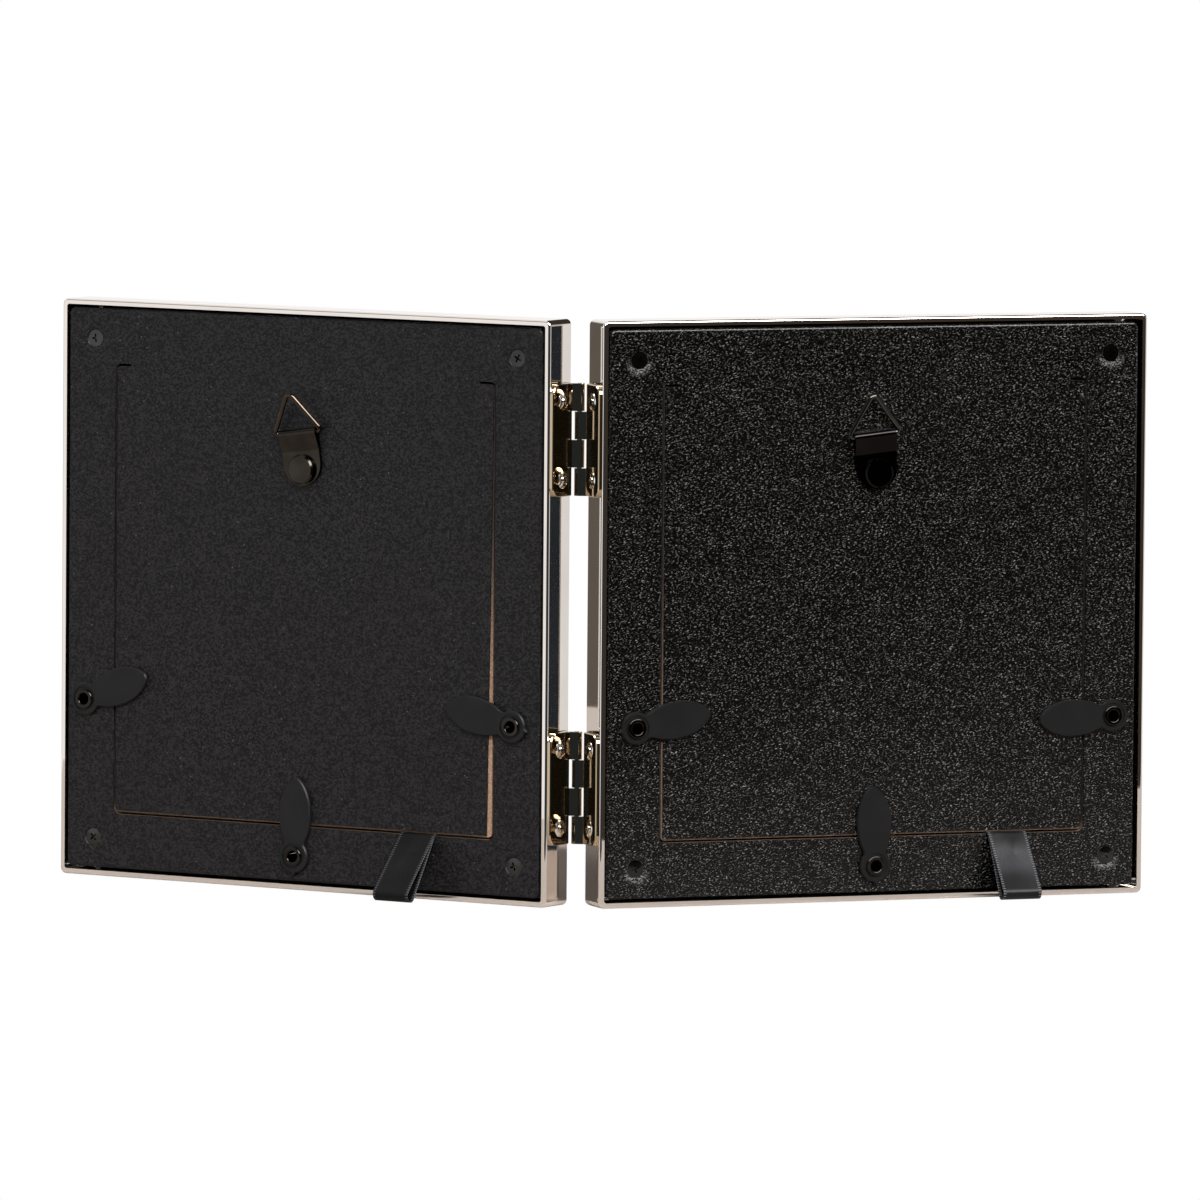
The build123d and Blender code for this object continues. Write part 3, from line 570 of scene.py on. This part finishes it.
def satin(name, tone, lit, stitches, sheen, specular):
    """Black satin: fine ribs, a dotted edge, and a painted highlight that makes it paler where it faces up;
    its map is in millimetres.
    """
    rib_pitch, thread_pitch, stitch_pitch = 0.42, 0.3, 0.85
    material, t = new_material(name)
    where = t.add("ShaderNodeUVMap", uv_map="UVMap").outputs[0]
    axes = t.axes(where)
    across, along = axes["X"], axes["Y"]
    rib = t.math("SINE", t.math("MULTIPLY", across, math.tau / rib_pitch))
    thread = t.math("SINE", t.math("MULTIPLY", along, math.tau / thread_pitch))
    stitch = t.math("SINE", t.math("MULTIPLY", along, math.tau / stitch_pitch))
    slub = t.noise(t.stretch(where, (3.0, 0.35, 1)), 1.0, 4, 0.6)
    inward = t.math("MINIMUM", across, t.math("SUBTRACT", RIBBON_WIDTH, across))
    selvage = t.ramp(inward, 0.75, 1.0, 1.0, 0.0)
    dot = t.product(selvage, t.ramp(stitch, 0.1, 0.7))
    gap = t.product(selvage, t.ramp(stitch, -0.1, -0.7))
    # Painted highlight: the strip that faces up, between the glued top and the fold, is paler, standing in
    # for the light falling on it
    painted_highlight_facing_up = t.product(t.ramp(along, 11, 16), t.ramp(along, 26, 20))
    base = t.mix(t.product(painted_highlight_facing_up, t.ramp(slub, 0.2, 0.8, 0.6, 1.0)), tone, lit)
    base = t.mix(dot, base, stitches)
    base = t.mix(gap, base, colour(6, 6, 6))
    threads = t.math("MULTIPLY_ADD", thread, 0.15, t.math("MULTIPLY", dot, 2.0))
    inputs = {
        "Base Color": base,
        "Roughness": t.ramp(slub, 0.3, 0.7, 0.34, 0.44),
        "Specular IOR Level": specular,
        "Anisotropic": 0.5,
        "Sheen Weight": sheen,
        "Sheen Roughness": 0.4,
        "Normal": t.bump(t.math("MULTIPLY_ADD", rib, 0.5, threads), 0.5, 0.00006),
    }
    t.surface(inputs)
    return material


# The two ribbons are lit and shaded copies of one satin: their tones and painted highlight colours differ by
# leaf as painted light and shade, set to how each leaf is lit
left_satin = satin(
    "left satin", colour(4, 4, 5), colour(10, 10, 11), colour(62, 64, 68), sheen=0.01, specular=0.15
)
right_satin = satin(
    "right satin", colour(7, 7, 8), colour(42, 42, 46), colour(80, 82, 88), sheen=0.05, specular=0.25
)
ribbon(left, across=46.0, reach=13.5, material=left_satin)
ribbon(right, across=133.0, reach=11.5, material=right_satin)


# Floor: a small sheet, white to the camera and plain grey to everything else
FLOOR_TINT = (0.34, 0.31, 0.29, 1)
FLOOR_LOW, FLOOR_HIGH, FLOOR_HEIGHT = (-0.5, -0.19), (0.5, 0.5), -0.0002
WHITE = (1, 1, 1, 1)

material, t = new_material("floor")
is_camera = t.add("ShaderNodeLightPath").outputs["Is Camera Ray"]
plain = t.add("ShaderNodeBsdfDiffuse", {"Color": FLOOR_TINT}).outputs[0]
paper_white = t.add("ShaderNodeEmission", {"Color": WHITE, "Strength": 1.0}).outputs[0]
shown = t.add("ShaderNodeMixShader", {0: is_camera, 1: plain, 2: paper_white}).outputs[0]
t.add("ShaderNodeOutputMaterial", {"Surface": shown})

(low_x, low_y), (high_x, high_y) = FLOOR_LOW, FLOOR_HIGH
outline = [(low_x, low_y), (high_x, low_y), (high_x, high_y), (low_x, high_y)]
mesh = bpy.data.meshes.new("floor")
mesh.from_pydata([(x, y, FLOOR_HEIGHT) for x, y in outline], [], [(0, 1, 2, 3)])
mesh.materials.append(material)
floor = bpy.data.objects.new("floor", mesh)
bpy.context.scene.collection.objects.link(floor)


# World: a room with white walls to the left, right and behind, dim on the camera's side, with an open
# top that gives the light. The camera itself sees only white. Bearings are in degrees round the object
# from the photograph's camera, to the right of the picture; heights are from -1, down, to 1, up.
WALL_WHITE = colour(250, 248, 246)
WALL_RIGHT = colour(232, 230, 228)
WALL_CORNER = colour(98, 91, 83)
ROOM_LOW, ROOM_HIGH, ROOM_RIGHT = colour(74, 62, 54), colour(46, 54, 62), colour(58, 51, 44)
TOP_LIGHT, AISLE_LIGHT, BEHIND_LIGHT, SOFTBOX_LIGHT = 0.35, 0.5, 0.65, 16.0

world = bpy.data.worlds.new("studio")
bpy.context.scene.world = world
t = Tree(world)
way = t.add("ShaderNodeTexCoord").outputs["Generated"]
height = t.axes(way)["Z"]
front = t.vector("DOT_PRODUCT", way, (-math.sin(AZIMUTH), -math.cos(AZIMUTH), 0))
aside = t.vector("DOT_PRODUCT", way, tuple(level))
bearing = t.math("MULTIPLY", t.math("ARCTAN2", aside, front), 180 / math.pi)

# A dark patch high behind the pair on the right keeps the right leaf's upper rim dark
dark = t.product(t.ramp(bearing, 72, 84), t.ramp(bearing, 179.5, 174), t.ramp(height, 0.12, 0.25))
not_dark = t.math("SUBTRACT", 1.0, dark)

# Walls and the room in front of them
left_wall = t.product(t.ramp(bearing, -40, -52), t.ramp(bearing, -130, -120))
right_wall = t.ramp(bearing, 62, 76)
back_wall = t.ramp(bearing, -150, -158)
walls = t.product(t.largest(left_wall, right_wall, back_wall), not_dark)
wall_tone = t.mix(t.product(right_wall, t.ramp(bearing, 140, 125)), WALL_WHITE, WALL_RIGHT)
room = t.mix(t.ramp(height, -0.15, -0.10), ROOM_LOW, ROOM_HIGH)
room = t.mix(t.ramp(bearing, 22, 34), room, ROOM_RIGHT)
room = t.mix(t.ramp(bearing, -100, -120), room, WALL_CORNER)
room = t.mix(walls, room, wall_tone)

# The open top: a band on the camera's side and everything behind, with a softbox over the aisle
band = t.largest(t.ramp(height, 0.84, 0.70), t.ramp(front, -0.1, -0.3))
top = t.product(t.ramp(height, 0.26, 0.42), band, not_dark)
aisle = t.product(t.ramp(bearing, -24, -8), t.ramp(bearing, 74, 58))
softbox = t.product(aisle, t.ramp(height, 0.38, 0.44), t.ramp(height, 0.82, 0.76))
behind = t.largest(t.ramp(bearing, -75, -110), t.ramp(bearing, 85, 120))
strength = t.math("MULTIPLY_ADD", softbox, SOFTBOX_LIGHT, TOP_LIGHT)
strength = t.math("MULTIPLY_ADD", behind, BEHIND_LIGHT, strength)
strength = t.math("MULTIPLY_ADD", aisle, AISLE_LIGHT, strength)
lamp = t.add("ShaderNodeVectorMath", {0: WALL_WHITE[:3], "Scale": strength}, operation="SCALE").outputs[0]

is_camera = t.add("ShaderNodeLightPath").outputs["Is Camera Ray"]
seen = t.mix(is_camera, t.mix(top, room, lamp), WHITE)
sky = t.add("ShaderNodeBackground", {"Color": seen, "Strength": 1.0})
t.add("ShaderNodeOutputWorld", {"Surface": sky.outputs[0]})

bpy.context.scene.view_settings.view_transform = "Standard"
